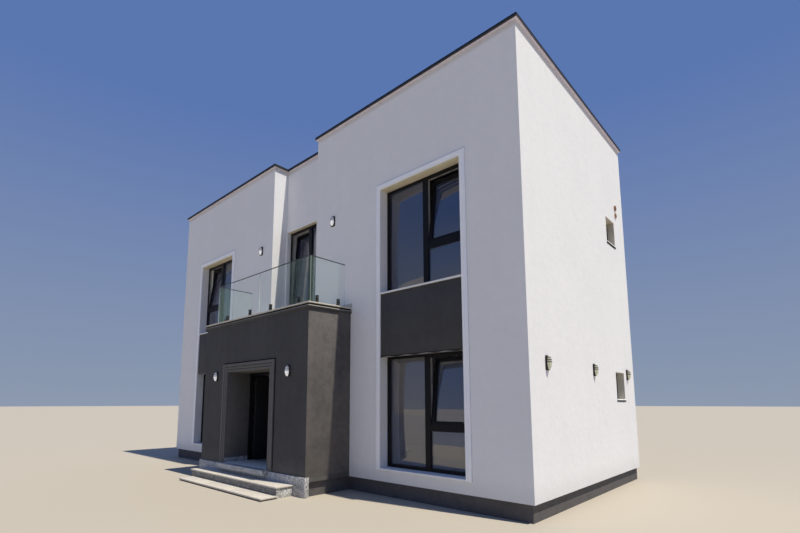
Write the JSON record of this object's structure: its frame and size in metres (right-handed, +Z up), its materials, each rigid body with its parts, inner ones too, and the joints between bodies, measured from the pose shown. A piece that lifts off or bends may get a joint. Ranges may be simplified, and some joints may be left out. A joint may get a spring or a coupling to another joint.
{
  "type": "detached house",
  "caption": "Flat-roofed house of two white blocks with a recessed middle, a dark porch under a glass-railed balcony, tall window bays and an entrance door that swings.",
  "frame": {"origin": "bottom centre of the bounding box, on the ground", "axes": "+Z up, front faces -Y, +X to the right as seen from the front"},
  "size_m": [12.8236, 7.639, 8.39],
  "materials": {
    "white_render": "fine mineral render, matt",
    "dark_render": "fine mineral render, anthracite, matt",
    "plinth_render": "coarse plinth render, matt",
    "concrete": "concrete, matt",
    "floor_finish": "floor tiles, satin",
    "roof_membrane": "roof membrane, matt",
    "coping_metal": "dark grey, satin",
    "granite": "speckled granite, honed",
    "light_stone": "pale stone, fine-ground",
    "anthracite_profile": "anthracite, satin",
    "door_skin": "anthracite, satin",
    "steel": "brushed",
    "trim_white": "painted mouldings, matt",
    "window_glass": "tinted by reflection, clear",
    "rail_glass": "laminated, green edge",
    "lamp_metal": "black, satin",
    "lamp_glass": "opal ribbed glass",
    "vent_plastic": "brown, matt"
  },
  "bodies": {
    "house": {"plinth": "plinth_render", "ground_floor": "floor_finish", "right_front_wall": "white_render", "left_front_wall": "white_render", "right_return_wall": "white_render", "left_return_wall": "white_render", "middle_wall": "white_render", "right_side_wall": "white_render", "left_side_wall": "white_render", "back_wall": "white_render", "upper_floor": "concrete", "roof_deck": "roof_membrane", "coping_board": "trim_white", "coping_cap": "coping_metal", "porch_right_front": "dark_render", "porch_left_front": "dark_render", "porch_right_side": "dark_render", "porch_left_side": "dark_render", "porch_lintel": "dark_render", "balcony_slab": "dark_render", "balcony_paving": "light_stone", "granite_base": "granite", "entrance_surround": "dark_render", "reveal_skirting": "granite", "threshold": "granite", "upper_step": "granite", "upper_tread": "light_stone", "lower_step": "light_stone", "door_frame": "anthracite_profile", "side_light": "window_glass", "frame_hinges": "steel", "spandrels": "dark_render", "window_trims": "trim_white", "window_sills": "light_stone", "front_window_frames": "anthracite_profile", "front_sashes": "anthracite_profile", "front_window_glass": "window_glass", "back_window_frames": "anthracite_profile", "back_sashes": "anthracite_profile", "back_window_glass": "window_glass", "balcony_door_frame": "anthracite_profile", "balcony_door_leaf": "anthracite_profile", "balcony_door_glass": "window_glass", "side_window_frames": "anthracite_profile", "side_window_glass": "window_glass", "side_window_sills": "light_stone", "balustrade_glass": "rail_glass", "balustrade_cap": "lamp_metal", "balustrade_clamps": "lamp_metal", "lamp_plates": "lamp_metal", "lamp_globes": "lamp_glass", "lamp_ribs": "lamp_metal", "vents": "vent_plastic"},
    "door": {"door_leaf": "door_skin", "door_handle": "steel", "leaf_hinges": "steel"}
  },
  "joints": [
    {"name": "door_hinge", "type": "hinge", "parent": "house", "child": "door", "pos_m": [-0.8265, -2.3515, 0.4], "axis": [0, 0, -1], "range_deg": [0, 90]}
  ]
}
